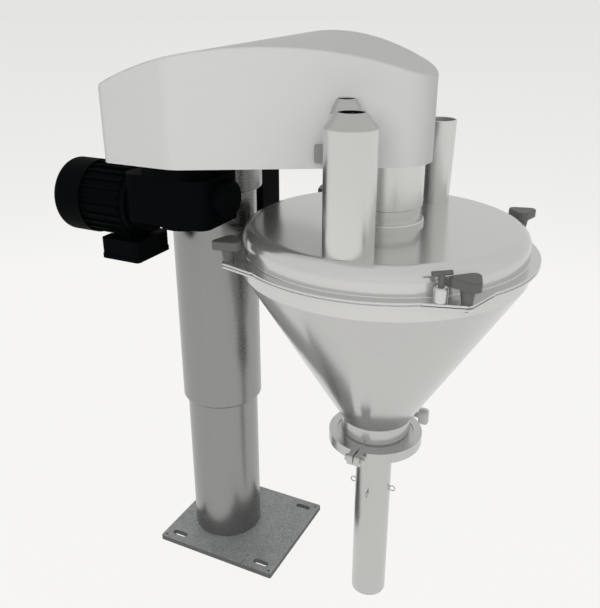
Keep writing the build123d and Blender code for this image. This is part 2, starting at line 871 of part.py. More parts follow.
def make_gearbox():
    y_range = (gearbox_y - gearbox_half_width, gearbox_y + gearbox_half_width)
    body = block((motor_front, gearbox_x + gearbox_front), y_range, (gearbox_low, gearbox_high))
    body = fillet(body.edges().filter_by(Axis.Z), gearbox_round)
    low = gearbox_low - gearbox_boss_drop
    body += z_cylinder(gearbox_boss_radius, low, gearbox_low, gearbox_x, gearbox_y)
    body += z_cylinder(gearbox_flange_radius, gearbox_high, head_bottom, gearbox_x, gearbox_y)
    neck_end = motor_front + gearbox_round
    body += x_cylinder(gearbox_neck_radius, motor_front, neck_end, gearbox_y, motor_axis_height)
    bore = drive_shaft_radius + running_clearance
    body -= z_cylinder(bore, gearbox_low, head_bottom, gearbox_x, gearbox_y)
    for x, y in gearbox_bolt_places():
        body -= z_cylinder(bolt_radius, gearbox_high, head_bottom, x, y)
    return body


def make_gearbox_cap():
    front = gearbox_x + gearbox_front
    cap = x_cylinder(gearbox_cap_radius, front, front + gearbox_cap_length, gearbox_y, gearbox_cap_height)
    return chamfer(cap.edges().group_by(Axis.X)[-1], gearbox_cap_chamfer)


terminal_x = terminal_rear + terminal_length / 2


def make_terminal_box():
    low = terminal_bottom + terminal_lid_height
    high = low + terminal_height
    box = Pos(terminal_x, terminal_middle, (low + high) / 2)
    box *= Box(terminal_length, terminal_width, terminal_height)
    box = fillet(box.edges().filter_by(Axis.Z), terminal_round)
    neck_x = terminal_rear + terminal_round + terminal_neck_length / 2
    neck = Pos(neck_x, gearbox_y, (high + motor_axis_height) / 2)
    neck *= Box(terminal_neck_length, terminal_neck_width, motor_axis_height - high)
    room_rear = terminal_rear - terminal_length
    room = x_cylinder(motor_radius, room_rear, motor_front, gearbox_y, motor_axis_height)
    return box + neck - room


def make_terminal_lid():
    lid = Pos(terminal_x, terminal_middle, terminal_bottom + terminal_lid_height / 2)
    grown = 2 * terminal_lid_overhang
    lid *= Box(terminal_length + grown, terminal_width + grown, terminal_lid_height)
    lid = fillet(lid.edges().filter_by(Axis.Z), terminal_round)
    return fillet(lid.edges().group_by(Axis.Z)[0], terminal_lid_round)


# Servo motor
def upright_block(width, low, high):
    body = block((-width / 2, width / 2), (-width / 2, width / 2), (low, high))
    return Pos(servo_x, servo_y, 0) * fillet(body.edges().filter_by(Axis.Z), servo_round)


servo_flange_bottom = head_bottom - servo_flange_thickness
servo_body_bottom = servo_flange_bottom - servo_body_height


def make_servo_motor():
    motor = upright_block(servo_width, servo_flange_bottom, head_bottom)
    motor += upright_block(servo_body_width, servo_body_bottom, servo_flange_bottom)
    bore = drive_shaft_radius + running_clearance
    motor -= z_cylinder(bore, servo_flange_bottom - servo_flange_thickness, head_bottom, servo_x, servo_y)
    for x, y in servo_bolt_places():
        motor -= z_cylinder(bolt_radius, servo_flange_bottom, head_bottom, x, y)
    return motor


def make_servo_cap():
    cap = upright_block(servo_body_width, servo_body_bottom - servo_cap_height, servo_body_bottom)
    return fillet(cap.edges().group_by(Axis.Z)[0], servo_round / 2)


# Fasteners on the head plate
def screws(places, seat, length):
    return [cap_screw(x, y, seat, length) for x, y in places]


def build_nodes():
    """Every piece of the filler, by the name of its node."""
    hopper_place = (hopper_reach, 0)
    nodes = {
        "base_plate": make_base_plate(),
        "column_tube": make_column_tube(),
        "lift_sleeve": make_lift_sleeve(),
        "sleeve_set_screws": make_sleeve_set_screws(),
        "swivel_collar": make_swivel_collar(),
        "thrust_washer": make_thrust_washer(),
        "head_plate": make_head_plate(),
        "head_cover": make_head_cover(),
        "neck_housing": make_neck_housing(),
        "neck_bearings": make_neck_bearings(),
        "bearing_spacer": make_bearing_spacer(),
        "shaft_seal": make_shaft_seal(),
        "seal_housing": make_seal_housing(),
        "lid": make_lid(),
        "lid_collar": make_lid_collar(),
        "lid_gasket": make_lid_gasket(),
        "front_vent_tube": vent_tube(front_vent_at, front_vent_radius, front_vent_mouth, front_vent_height),
        "rear_vent_tube": vent_tube(rear_vent_at, rear_vent_radius, rear_vent_mouth, rear_vent_height),
        "vent_clip": make_vent_clip(),
        "inlet_tube": make_inlet_tube(),
        "hopper": make_hopper(),
        "tee_screw": make_tee_screw(),
        "filler_tube": make_filler_tube(),
        "tube_eyelets": make_tube_eyelets(),
        "tube_gasket": make_tube_gasket(),
        "clamp_half_left": clamp_half(1),
        "clamp_half_right": clamp_half(-1),
        "clamp_bolt": make_clamp_bolt(),
        "clamp_wing_screw": make_clamp_wing_screw(),
        "auger": make_auger(),
        "auger_pulley": pulley(auger_pulley_radius, auger_shaft_radius, auger_belt_level, *hopper_place),
        "agitator_shaft": make_agitator_shaft(),
        "auger_bushes": make_auger_bushes(),
        "agitator_frame": make_agitator_frame(),
        "agitator_pulley": pulley(
            agitator_pulley_radius, agitator_shaft_radius, agitator_belt_level, *hopper_place
        ),
        "servo_shaft": drive_shaft(servo_at, servo_flange_bottom, auger_belt_level),
        "servo_pulley": pulley(servo_pulley_radius, drive_shaft_radius, auger_belt_level, *servo_at),
        "gearbox_shaft": drive_shaft(gearbox_at, gearbox_low, agitator_belt_level),
        "gearbox_pulley": pulley(gearbox_pulley_radius, drive_shaft_radius, agitator_belt_level, *gearbox_at),
        "auger_belt": belt(
            auger_belt_level, servo_at, servo_pulley_radius, hopper_place, auger_pulley_radius
        ),
        "agitator_belt": belt(agitator_belt_level, gearbox_at, gearbox_pulley_radius, hopper_place,
                              agitator_pulley_radius),
        "motor_body": make_motor_body(),
        "motor_fan_cover": make_fan_cover(),
        "motor_end_bell": make_motor_end_bell(),
        "motor_flange": make_motor_flange(),
        "gearbox": make_gearbox(),
        "gearbox_cap": make_gearbox_cap(),
        "terminal_box": make_terminal_box(),
        "terminal_lid": make_terminal_lid(),
        "servo_motor": make_servo_motor(),
        "servo_cap": make_servo_cap(),
        "gearbox_screws": screws(gearbox_bolt_places(), head_plate_top, head_plate_top - gearbox_high),
        "servo_screws": screws(servo_bolt_places(), head_plate_top, head_plate_top - servo_flange_bottom),
        "neck_screws": screws(neck_bolt_places(), head_plate_top, head_plate_thickness + neck_screw_grip),
    }
    for name, angle in zip(lug_names, lug_angles):
        nodes["lid_knob_" + name] = lid_knob(angle)
    return nodes


def main():
    os.makedirs("parts", exist_ok=True)
    for name, shape in build_nodes().items():
        solids = shape if isinstance(shape, list) else shape.solids()
        node = solids[0] if len(solids) == 1 else Compound(children=list(solids))
        node.label = name
        export_step(node, os.path.join("parts", name + ".step"))


main()
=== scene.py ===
"""Looks and stage of the auger powder filler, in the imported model's own frame, in metres."""
import math

import bmesh
import bpy
from bpy.props import FloatProperty, FloatVectorProperty, IntProperty, PointerProperty
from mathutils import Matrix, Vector


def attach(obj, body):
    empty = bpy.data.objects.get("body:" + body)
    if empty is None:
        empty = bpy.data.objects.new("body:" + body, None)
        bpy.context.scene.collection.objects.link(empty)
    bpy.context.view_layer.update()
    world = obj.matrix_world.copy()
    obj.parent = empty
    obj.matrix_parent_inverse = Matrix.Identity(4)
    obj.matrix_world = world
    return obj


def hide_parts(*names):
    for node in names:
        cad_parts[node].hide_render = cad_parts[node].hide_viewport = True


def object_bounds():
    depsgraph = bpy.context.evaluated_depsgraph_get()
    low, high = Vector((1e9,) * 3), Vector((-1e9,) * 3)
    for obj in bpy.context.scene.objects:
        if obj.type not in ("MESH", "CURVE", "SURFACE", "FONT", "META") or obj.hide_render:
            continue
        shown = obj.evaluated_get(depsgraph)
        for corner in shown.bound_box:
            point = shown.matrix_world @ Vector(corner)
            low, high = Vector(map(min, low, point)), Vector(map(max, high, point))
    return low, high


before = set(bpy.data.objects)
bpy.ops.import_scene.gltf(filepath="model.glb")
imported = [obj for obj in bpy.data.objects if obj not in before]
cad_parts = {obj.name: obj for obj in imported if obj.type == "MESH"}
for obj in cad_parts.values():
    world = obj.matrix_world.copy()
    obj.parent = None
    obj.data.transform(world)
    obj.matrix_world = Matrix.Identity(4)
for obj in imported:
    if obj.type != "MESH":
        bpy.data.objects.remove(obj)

bl_info = {
    "name": "Auger powder filler",
    "version": (1, 0, 0),
    "blender": (4, 5, 0),
    "location": "3D View > Sidebar > Filler",
    "description": "Gives the packed powder filler its finishes and sets it on a plain stage",
    "category": "Object",
}

cad_box = [list(corner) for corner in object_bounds()]
sharp_edge = math.radians(38)


# Properties
def length(default, label, words):
    return FloatProperty(name=label, description=words, default=default, unit="LENGTH")


def angle(degrees, label, words):
    return FloatProperty(name=label, description=words, default=math.radians(degrees), subtype="ANGLE")


def place_across(default, label, words):
    return FloatVectorProperty(name=label, description=words, default=default, size=2,
                               subtype="XYZ_LENGTH")


def colour(default, label, words):
    return FloatVectorProperty(name=label, description=words, default=default,
                               subtype="COLOR", min=0, max=1)


class FILLER_PG_column(bpy.types.PropertyGroup):
    """Sizes of the column, its sleeve and the swivel collar."""

    radius: length(0.0795, "Column radius", "Outside radius of the fixed column")
    wall: length(0.008, "Column wall", "Wall of the fixed column")
    foot: length(0.012, "Column foot", "Height of the column's foot, on the base plate")
    top: length(0.700, "Column top", "Height of the column's upper end, inside the sleeve")
    sleeve_radius: length(0.089, "Sleeve radius", "Outside radius of the sliding sleeve")
    sleeve_bore: length(0.07955, "Sleeve bore", "Inside radius of the sliding sleeve")
    sleeve_bottom: length(0.372, "Sleeve bottom", "Height of the sleeve's lower end at rest")
    sleeve_top: length(0.942, "Sleeve top", "Height of the sleeve's upper end at rest")
    sleeve_chamfer: length(0.005, "Sleeve chamfer", "Chamfer at the sleeve's lower end")
    collar_radius: length(0.101, "Collar radius", "Outside radius of the swivel collar")
    collar_bore: length(0.08905, "Collar bore", "Inside radius of the swivel collar")
    collar_bottom: length(0.858, "Collar bottom", "Height of the collar's lower edge")
    edge: length(0.0015, "Edge round", "Rounding of the machined edges")


class FILLER_PG_head(bpy.types.PropertyGroup):
    """Sizes of the head's cover."""

    bottom: length(0.946, "Head bottom", "Height of the head's underside")
    half_width: length(0.255, "Half width", "Half of the cover's width at the rear")
    rear: length(-0.066, "Rear", "Place of the rear face along X")
    kink: length(0.084, "Kink", "Place along X where the sides start to taper")
    kink_round: length(0.060, "Kink round", "Radius of the bend where the taper starts")
    corner: length(0.018, "Rear corner", "Radius of the two rear corners")
    end_radius: length(0.0795, "End radius", "Radius of the round end over the hopper")
    wall: length(0.003, "Wall", "Thickness of the cover's sheet")
    edge: length(0.005, "Edge round", "Rounding between the sides and the arched top")
    arch_rear: length(1.0835, "Arch at the rear", "Height of the top at the rear face")
    arch_middle: length(1.1485, "Arch in the middle", "Height of the top at its crown")
    arch_crown: length(0.200, "Crown", "Place of the crown along X")
    arch_front: length(1.0935, "Arch at the front", "Height of the top at the far end")
    arch_end: length(0.462, "Arch end", "Place along X where the front height holds")
    tilt: angle(1.72, "Tilt", "How far the arched top rises to the back")
    step: length(0.010, "Step", "Spacing of the points along the cover's straight sides")


class FILLER_PG_hopper(bpy.types.PropertyGroup):
    """Sizes of the hopper, its lid and the neck above it."""

    reach: length(0.378, "Hopper reach", "Distance from the column's axis to the hopper's axis")
    rim_radius: length(0.286, "Rim radius", "Outside radius of the hopper's rim")
    rim_top: length(0.7765, "Rim top", "Height of the rim's upper face")
    flange: length(0.004, "Flange", "Thickness of the rim's and the lid's flange")
    radius: length(0.270, "Hopper radius", "Outside radius of the band under the rim")
    shoulder: length(0.742, "Shoulder", "Height where the cone starts")
    shoulder_round: length(0.005, "Shoulder round", "Rounding where the band meets the cone")
    spout_radius: length(0.072, "Spout radius", "Outside radius of the spout under the cone")
    cone_bottom: length(0.413, "Cone bottom", "Height where the cone ends")
    spout_round: length(0.006, "Spout round", "Rounding where the cone meets the spout")
    flange_root: length(0.002, "Flange root", "Rounding in the corner at a flange")
    sheet: length(0.003, "Sheet", "Thickness of the sheet steel")
    ferrule_radius: length(0.086, "Ferrule radius", "Radius of the clamped flanges")
    ferrule_thickness: length(0.007, "Ferrule thickness", "Thickness of a clamped flange")
    ferrule_face: length(0.365, "Ferrule face", "Height of the hopper's lower face")
    lid_radius: length(0.267, "Lid radius", "Radius of the lid's raised part")
    lid_base: length(0.778, "Lid base", "Height of the lid's lower face")
    lid_top: length(0.830, "Lid top", "Height of the lid's flat top")
    lid_shoulder: length(0.026, "Lid shoulder", "Rounding of the lid's shoulder")
    lug_reach: length(0.302, "Tab reach", "Distance of a tab's stud from the hopper's axis")
    lug_radius: length(0.013, "Tab radius", "Radius of a tab's round end")
    lug_root: length(0.065, "Tab root", "Half of a tab's width at the rim")
    lug_depth: length(0.012, "Tab depth", "Depth of a tab's root inside the rim")
    pad_reach: length(0.285, "Pad reach", "Distance of the pad's middle from the hopper's axis")
    pad_radius: length(0.012, "Pad radius", "Radius of the pad under the tee screw")
    pad_thickness: length(0.025, "Pad thickness", "Height of the pad under the tee screw")
    pad_edge: length(0.004, "Pad edge", "Rounding of the pad's upper rim")
    pad_angle: angle(-52.2, "Pad angle", "Place of the pad round the lid")
    neck_radius: length(0.0674, "Neck radius", "Radius of the neck under the head")
    neck_bottom: length(0.863, "Neck bottom", "Height of the neck's lower end")
    neck_bore: length(0.0475, "Neck bore", "Radius of the bore for the bearings")
    neck_floor: length(0.006, "Neck floor", "Thickness of the floor under the bearings")
    neck_ring: length(0.001, "Neck ring", "How far the neck's ring stands proud")
    neck_ring_rise: length(0.010, "Neck ring rise", "Height of the ring over the neck's lower end")
    neck_ring_height: length(0.003, "Neck ring height", "Height of the ring itself")
    housing_radius: length(0.059, "Seal housing radius", "Radius of the seal housing on the lid")
    housing_bore: length(0.042, "Seal housing bore", "Bore of the seal housing")
    collar_radius: length(0.071, "Lid collar radius", "Radius of the collar on the lid")
    collar_height: length(0.009, "Lid collar height", "Height of the collar on the lid")
    edge: length(0.0012, "Edge round", "Rounding of the sheet edges")
    segments: IntProperty(name="Segments", description="Facets round a turned piece",
                          default=192, min=48)


class FILLER_PG_tubes(bpy.types.PropertyGroup):
    """Sizes of the tubes on the lid and of the filler tube."""

    wall: length(0.003, "Wall", "Wall of the tubes on the lid")
    cone: length(0.024, "Cone", "Height of a vent's conical end")
    front_vent: place_across((0.387, -0.201), "Front vent", "Place of the front vent")
    front_radius: length(0.043, "Front vent radius", "Outside radius of the front vent")
    front_mouth: length(0.023, "Front vent mouth", "Outside radius of its mouth")
    front_height: length(0.201, "Front vent height", "Height of its straight part")
    rear_vent: place_across((0.3523, -0.1388), "Rear vent", "Place of the rear vent")
    rear_radius: length(0.027, "Rear vent radius", "Outside radius of the rear vent")
    rear_mouth: length(0.016, "Rear vent mouth", "Outside radius of its mouth")
    rear_height: length(0.212, "Rear vent height", "Height of its straight part")
    inlet: place_across((0.417, 0.186), "Inlet", "Place of the inlet")
    inlet_foot: length(0.029, "Inlet foot", "Outside radius of the inlet at the lid")
    inlet_mouth: length(0.033, "Inlet mouth", "Outside radius of the inlet's mouth")
    inlet_height: length(0.164, "Inlet height", "Height of the inlet")
    filler_radius: length(0.03805, "Filler tube radius", "Outside radius of the filler tube")
    filler_wall: length(0.002, "Filler tube wall", "Wall of the filler tube")
    filler_edge: length(0.0008, "Filler tube edge", "Rounding of the tube's open end")
    filler_root: length(0.004, "Filler tube root", "Rounding where the tube meets its flange")
    filler_end: length(-0.050, "Filler tube end", "Height of the tube's open end")
    filler_face: length(0.363, "Filler tube face", "Height of the tube's clamped face")


class FILLER_PG_finish(bpy.types.PropertyGroup):
    """Colours of the finishes."""

    cover_paint: colour((0.70, 0.70, 0.69), "Cover paint", "Powder coat of the head's cover")
    hopper_steel: colour((0.56, 0.56, 0.55), "Hopper steel", "Polished steel of the hopper and lid")
    tube_steel: colour((0.72, 0.72, 0.705), "Tube steel", "Satin steel of the tubes and the neck")
    filler_steel: colour((0.56, 0.56, 0.55), "Filler steel", "Satin steel of filler tube and clamp")
    column_steel: colour((0.31, 0.31, 0.305), "Column steel", "Ground steel of the column")
    plate_grey: colour((0.385, 0.400, 0.395), "Plate grey", "Grainy grey of the base plate")
    motor_black: colour((0.0020, 0.0026, 0.0030), "Motor black", "Matt black of the motors")
    knob_grey: colour((0.115, 0.115, 0.112), "Knob grey", "Moulded plastic of the hand knobs")
    aluminium: colour((0.62, 0.62, 0.62), "Aluminium", "Machined aluminium inside the head")
    bearing_steel: colour((0.50, 0.50, 0.50), "Bearing steel", "Ground steel of bearings and screws")
    bronze: colour((0.50, 0.33, 0.13), "Bronze", "Turned bronze of the bushes")
    rubber: colour((0.022, 0.022, 0.022), "Rubber", "Belts and the shaft's seal")
    silicone: colour((0.52, 0.52, 0.50), "Silicone", "Gaskets of the hopper")


class FILLER_PG_stage(bpy.types.PropertyGroup):
    """The camera, the floor and the soft light."""

    camera_place: FloatVectorProperty(name="Camera", description="Place of the camera",
                                      default=(0.8174, -1.2486, 1.2153), subtype="TRANSLATION")
    camera_turn: FloatVectorProperty(name="Camera turn", description="Rotation of the camera",
                                     default=(math.radians(67.09), 0, math.radians(26.31)),
                                     subtype="EULER")
    lens: FloatProperty(name="Lens", description="Focal length in millimetres", default=43.58)
    sensor: FloatProperty(name="Sensor", description="Width of the image in millimetres", default=36.0)
    backdrop: colour((0.947, 0.939, 0.922), "Backdrop", "Pale colour of the floor and backdrop")
    backdrop_far: colour((0.775, 0.775, 0.760), "Far backdrop", "Colour of the floor far behind")
    near: length(2.3, "Near", "Distance from the column within which the floor is palest")
    floor_half: length(40.0, "Floor", "Half of the floor's width")
    floor_glow: FloatProperty(name="Floor glow", description="Share of the floor's own light",
                              default=0.95, min=0, max=1)
    soft_light: FloatProperty(name="Soft light", description="Level of the light from all round",
                              default=0.40, min=0)


# Shader sums
class Wire:
    """A socket of a node tree, on which sums are written as Python expressions."""

    def __init__(self, tree, socket=None):
        self.tree = tree
        self.socket = socket

    def node(self, kind, settings=None, inputs=None, output=0):
        """Add a node, set it up, join its sockets and give one of its outputs."""
        made = self.tree.nodes.new(kind)
        for name, value in (settings or {}).items():
            setattr(made, name, value)
        for key, value in (inputs or {}).items():
            if isinstance(value, Wire):
                self.tree.links.new(value.socket, made.inputs[key])
            else:
                made.inputs[key].default_value = value
        return Wire(self.tree, made.outputs[output]) if len(made.outputs) else None

    def sum(self, operation, first, second):
        return self.node("ShaderNodeMath", {"operation": operation}, {0: first, 1: second})

    def __add__(self, other):
        return self.sum("ADD", self, other)

    def __sub__(self, other):
        return self.sum("SUBTRACT", self, other)

    def __rsub__(self, other):
        return self.sum("SUBTRACT", other, self)

    def __mul__(self, other):
        return self.sum("MULTIPLY", self, other)

    def __pow__(self, other):
        return self.sum("POWER", self, other)

    __radd__ = __add__
    __rmul__ = __mul__

    def place(self):
        """Place on the piece, in the frame at rest."""
        return self.node("ShaderNodeTexCoord", output="Object")

    def split(self, vector):
        """The three parts of a vector."""
        parts = self.node("ShaderNodeSeparateXYZ", None, {0: vector}).socket.node.outputs
        return [Wire(self.tree, part) for part in parts]

    def noise(self, scale, vector, detail=3.0):
        inputs = {"Scale": scale, "Detail": detail, "Vector": vector}
        return self.node("ShaderNodeTexNoise", None, inputs)

    def blend(self, factor, first, second):
        """One colour that goes over into another."""
        ends = {0: factor, 6: first, 7: second}
        return self.node("ShaderNodeMix", {"data_type": "RGBA"}, ends, output=2)

    def limits(self, low, high):
        """Nought below one level, one above another."""
        ends = {"Value": self, "From Min": low, "From Max": high}
        return self.node("ShaderNodeMapRange", {"clamp": True}, ends)


def shade(rgb, share):
    """A colour made lighter or darker."""
    return tuple(min(1.0, part * share) for part in rgb[:3]) + (1.0,)


def new_finish(name):
    finish = bpy.data.materials.new(name)
    finish.use_nodes = True
    finish.node_tree.nodes.clear()
    return finish, Wire(finish.node_tree)


def close_finish(start, sockets, height, strength, distance):
    """Join the sockets to a shader, with a bump from a height."""
    inputs = {"Height": height, "Strength": strength, "Distance": distance}
    sockets["Normal"] = start.node("ShaderNodeBump", None, inputs)
    shader = start.node("ShaderNodeBsdfPrincipled", None, sockets)
    start.node("ShaderNodeOutputMaterial", None, {"Surface": shader})


def painted(name, rgb, roughness, spread, grain, bump, gloss):
    """Powder coat: a fine orange peel, and a slow drift in tone and gloss."""
    drift_scale = 4.0
    polish_drift = 0.16
    peel_detail = 2.0
    peel_depth = 0.0006
    finish, start = new_finish(name)
    place = start.place()
    drift = start.noise(drift_scale, place)
    peel = start.noise(grain, place, peel_detail)
    tone = start.blend(drift, shade(rgb, 1 - spread), shade(rgb, 1 + spread))
    polish = roughness + polish_drift * (drift - 0.5)
    sockets = {"Base Color": tone, "Roughness": polish, "Specular IOR Level": gloss}
    close_finish(start, sockets, peel, bump, peel_depth)
    return finish


def turned_steel(name, rgb, centre, roughness, lines, metal=1.0, upper=None):
    """Steel polished on a lathe: lines round an upright axis, and above a height a tone scaled by a share,
    painted highlight where it is lighter and painted shade where it is darker.
    """
    spread = 0.04
    line_share = 0.6
    line_detail = 2.0
    line_polish = 0.08
    line_bump = 0.015
    line_depth = 0.0003
    cloud_scale = 6.0
    cloud_polish = 0.03
    change = 0.0005
    finish, start = new_finish(name)
    place = start.place()
    across, along, height = start.split(place)
    x = across - centre[0]
    y = along - centre[1]
    radius = (x * x + y * y) ** 0.5
    rings = start.node("ShaderNodeCombineXYZ", None, {0: radius * lines, 2: height * lines})
    grain = start.noise(1.0, rings, line_detail)
    cloud = start.noise(cloud_scale, place)
    mix = grain * line_share + cloud * (1 - line_share)
    tone = start.blend(mix, shade(rgb, 1 - spread), shade(rgb, 1 + spread))
    # Above the level the tone is scaled by the share: painted highlight when the share is over one,
    # painted shade when it is under one.
    if upper is not None:
        level, share = upper
        other = start.blend(mix, shade(rgb, (1 - spread) * share), shade(rgb, (1 + spread) * share))
        tone = start.blend(height.limits(level - change, level + change), tone, other)
    polish = roughness + line_polish * (grain - 0.5) + cloud_polish * (cloud - 0.5)
    sockets = {"Base Color": tone, "Roughness": polish, "Metallic": metal}
    close_finish(start, sockets, grain, line_bump, line_depth)
    return finish


def grainy_plate(name, rgb):
    """Zinc-grey plate with a speckled skin, darker on its sides and underside than on faces that look up.
    """
    speckle_scale = 280.0
    speckle_detail = 5.0
    speckle_share = 0.75
    speckle_bump = 0.12
    speckle_depth = 0.0008
    patch_scale = 30.0
    contrast = (0.34, 0.66)
    facing_up = (0.2, 0.8)
    side_shares = (0.20, 0.42)
    top_shares = (0.68, 1.34)
    roughness = 0.42
    patch_polish = 0.2
    metal = 0.35
    finish, start = new_finish(name)
    place = start.place()
    speckle = start.noise(speckle_scale, place, speckle_detail)
    patch = start.noise(patch_scale, place)
    mix = (speckle * speckle_share + patch * (1 - speckle_share)).limits(*contrast)
    # The tone follows which way each face looks: lighter where it looks up, darker on the sides and
    # underside.
    face = start.node("ShaderNodeNewGeometry", output="Normal")
    top = start.split(face)[2].limits(*facing_up)
    dark = start.blend(top, shade(rgb, side_shares[0]), shade(rgb, top_shares[0]))
    pale = start.blend(top, shade(rgb, side_shares[1]), shade(rgb, top_shares[1]))
    tone = start.blend(mix, dark, pale)
    polish = roughness + patch_polish * patch
    sockets = {"Base Color": tone, "Roughness": polish, "Metallic": metal}
    close_finish(start, sockets, speckle, speckle_bump, speckle_depth)
    return finish


def moulded(name, rgb, roughness, grain):
    """Moulded plastic or rubber with a fine sparked skin."""
    skin_detail = 2.0
    skin_bump = 0.12
    skin_depth = 0.0005
    wear_scale = 25.0
    wear_shares = (0.85, 1.18)
    wear_polish = 0.12
    finish, start = new_finish(name)
    place = start.place()
    skin = start.noise(grain, place, skin_detail)
    wear = start.noise(wear_scale, place)
    tone = start.blend(wear, shade(rgb, wear_shares[0]), shade(rgb, wear_shares[1]))
    sockets = {"Base Color": tone, "Roughness": roughness + wear_polish * (wear - 0.5)}
    close_finish(start, sockets, skin, skin_bump, skin_depth)
    return finish


def machined(name, rgb, roughness):
    """Machined metal with fine straight lines."""
    line_scale = (60.0, 60.0, 900.0)
    line_detail = 2.0
    line_shares = (0.86, 1.08)
    line_polish = 0.12
    line_bump = 0.05
    line_depth = 0.0003
    finish, start = new_finish(name)
    lines = start.node("ShaderNodeMapping", None, {"Vector": start.place(), "Scale": line_scale})
    grain = start.noise(1.0, lines, line_detail)
    tone = start.blend(grain, shade(rgb, line_shares[0]), shade(rgb, line_shares[1]))
    polish = roughness + line_polish * (grain - 0.5)
    sockets = {"Base Color": tone, "Roughness": polish, "Metallic": 1.0}
    close_finish(start, sockets, grain, line_bump, line_depth)
    return finish


# Mesh tools
def arc_between(before, corner, after, radius, steps=6):
    """Points of a fillet at a corner of an outline in the plane."""
    to_before = (before - corner).normalized()
    to_after = (after - corner).normalized()
    half = to_before.angle(to_after) / 2
    reach = radius / math.tan(half)
    centre = corner + (to_before + to_after).normalized() * (radius / math.sin(half))
    first = corner + to_before * reach - centre
    last = corner + to_after * reach - centre
    turn = first.angle(last)
    points = []
    for step in range(steps + 1):
        share = step / steps
        swing = (math.sin((1 - share) * turn) * first + math.sin(share * turn) * last) / math.sin(turn)
        points.append(centre + swing)
    return points


def rounded(outline):
    """A closed outline of (across, up, round) corners as plain points."""
    points = []
    corners = [(Vector(corner[:2]), corner[2] if len(corner) > 2 else 0.0) for corner in outline]
    for index, (corner, radius) in enumerate(corners):
        if radius > 0:
            before = corners[index - 1][0]
            after = corners[(index + 1) % len(corners)][0]
            points += arc_between(before, corner, after, radius)
        else:
            points.append(corner)
    return points


def turn_outline(mesh, outline, centre, segments):
    """Add a ring to the mesh, turned about an upright axis from a closed outline."""
    points = rounded(outline)
    rings = []
    base = Vector((centre[0], centre[1], 0))
    for step in range(segments):
        turn = 2 * math.pi * step / segments
        across = Vector((math.cos(turn), math.sin(turn), 0))
        places = [base + across * point.x + Vector((0, 0, point.y)) for point in points]
        rings.append([mesh.verts.new(place) for place in places])
    for near, far in zip(rings, rings[1:] + rings[:1]):
        for index in range(len(points)):
            follow = (index + 1) % len(points)
            mesh.faces.new((near[index], far[index], far[follow], near[follow]))


def raise_plan(mesh, plan, low, high, low_edge, high_edge, steps=1):
    """Add a plate to the mesh, raised from a plan with rims that are rounded in a few steps."""
    middle = sum(plan, Vector((0, 0))) / len(plan)
    turns = [step / steps * math.pi / 2 for step in range(steps + 1)]
    rim = [(1 - math.sin(turn), 1 - math.cos(turn)) for turn in turns]
    levels = [(low_edge * inset, low + low_edge * rise) for inset, rise in rim]
    levels += [(high_edge * inset, high - high_edge * drop) for inset, drop in reversed(rim)]
    rings = []
    for inset, level in levels:
        ring = []
        for point in plan:
            place = point + (middle - point).normalized() * inset
            ring.append(mesh.verts.new((place.x, place.y, level)))
        rings.append(ring)
    count = len(plan)
    for lower, upper in zip(rings, rings[1:]):
        for index in range(count):
            follow = (index + 1) % count
            mesh.faces.new((lower[index], lower[follow], upper[follow], upper[index]))
    mesh.faces.new(list(reversed(rings[0])))
    mesh.faces.new(rings[-1])


def even_out(piece):
    """Weight the normals by face, with the sharp edges kept."""
    even = piece.modifiers.new("even_normals", "WEIGHTED_NORMAL")
    even.keep_sharp = True


def finish_piece(name, mesh, finish, body, nodes):
    """Turn a mesh into a piece that stands for CAD nodes and moves with their body."""
    bmesh.ops.recalc_face_normals(mesh, faces=mesh.faces)
    for face in mesh.faces:
        face.smooth = True
    data = bpy.data.meshes.new(name)
    mesh.to_mesh(data)
    mesh.free()
    data.set_sharp_from_angle(angle=sharp_edge)
    data.materials.append(finish)
    piece = bpy.data.objects.new(name, data)
    bpy.context.scene.collection.objects.link(piece)
    even_out(piece)
    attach(piece, body)
    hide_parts(*nodes)
    return piece


def turned_piece(node, outline, centre, finish, body, segments):
    mesh = bmesh.new()
    turn_outline(mesh, outline, centre, segments)
    return finish_piece(node + "_look", mesh, finish, body, [node])


def dress(finish, *names):
    """Give CAD nodes a finish."""
    for name in names:
        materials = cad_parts[name].data.materials
        materials.clear()
        materials.append(finish)


def on_circle(centre, radius, turn):
    return Vector((centre[0] + radius * math.cos(turn), centre[1] + radius * math.sin(turn)))


def circle_plan(centre, radius, steps):
    return [on_circle(centre, radius, 2 * math.pi * step / steps) for step in range(steps)]


# Operators
class FILLER_OT_column(bpy.types.Operator):
    """Base plate, column, lift sleeve and swivel collar"""

    bl_idname = "filler.column"
    bl_label = "Column"

    def execute(self, context):
        size = context.scene.filler_column
        tints = context.scene.filler_finish
        facets = context.scene.filler_hopper.segments
        tint = tints.column_steel
        ground = turned_steel("ground_column_steel", tint, (0, 0), roughness=0.27, lines=700.0)
        edge = size.edge
        bore = size.radius - size.wall
        tube = [
            (bore, size.foot), (size.radius, size.foot, edge),
            (size.radius, size.top, edge), (bore, size.top),
        ]
        turned_piece("column_tube", tube, (0, 0), ground, "base", facets)
        chamfer = size.sleeve_chamfer
        sleeve = [
            (size.sleeve_bore, size.sleeve_bottom),
            (size.sleeve_radius - chamfer, size.sleeve_bottom, edge / 2),
            (size.sleeve_radius, size.sleeve_bottom + chamfer, edge),
            (size.sleeve_radius, size.sleeve_top, edge), (size.sleeve_bore, size.sleeve_top),
        ]
        turned_piece("lift_sleeve", sleeve, (0, 0), ground, "lift", facets)
        head_bottom = context.scene.filler_head.bottom
        collar = [
            (size.collar_bore, size.collar_bottom), (size.collar_radius, size.collar_bottom, 2 * edge),
            (size.collar_radius, head_bottom), (size.collar_bore, head_bottom),
        ]
        turned_piece("swivel_collar", collar, (0, 0), ground, "head", facets)
        dress(grainy_plate("grainy_plate_grey", tints.plate_grey), "base_plate")
        return {"FINISHED"}


